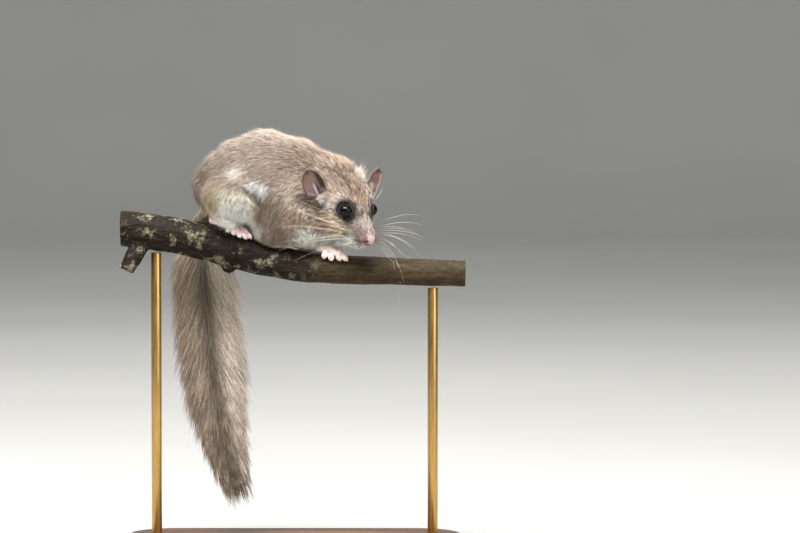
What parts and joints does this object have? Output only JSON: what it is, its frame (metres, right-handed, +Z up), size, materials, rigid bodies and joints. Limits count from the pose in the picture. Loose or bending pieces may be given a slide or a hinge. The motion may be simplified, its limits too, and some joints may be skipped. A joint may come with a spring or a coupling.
{
  "type": "perching dormouse model",
  "caption": "Life-size model of an edible dormouse crouched on a cut branch, its head turned and its bushy tail hanging, on a plain wooden stand with two rods.",
  "frame": {"origin": "on the floor, at the middle of the underside of the stand's base", "axes": "+Z up; +X along the branch, the way the animal faces; -Y the side its face is turned to"},
  "size_m": [0.1484, 0.082, 0.1872],
  "materials": {
    "fur": "matte",
    "bare_skin": "satin",
    "eye": "gloss",
    "bark": "rough",
    "base_wood": "satin",
    "rod_brass": "brushed"
  },
  "bodies": {
    "root": {"torso": "fur", "neck": "fur", "head": "fur", "thigh_right": "fur", "thigh_left": "fur", "upper_arm_right": "fur", "upper_arm_left": "fur", "forearm_right": "fur", "forearm_left": "fur", "tail": "fur", "ear_right": "bare_skin", "ear_left": "bare_skin", "hindfoot_right": "bare_skin", "hindfoot_left": "bare_skin", "forefoot_right": "bare_skin", "forefoot_left": "bare_skin", "eye_right": "eye", "eye_left": "eye", "perch_branch": "bark", "stand_base": "base_wood", "stand_rod_left": "rod_brass", "stand_rod_right": "rod_brass"}
  },
  "joints": []
}
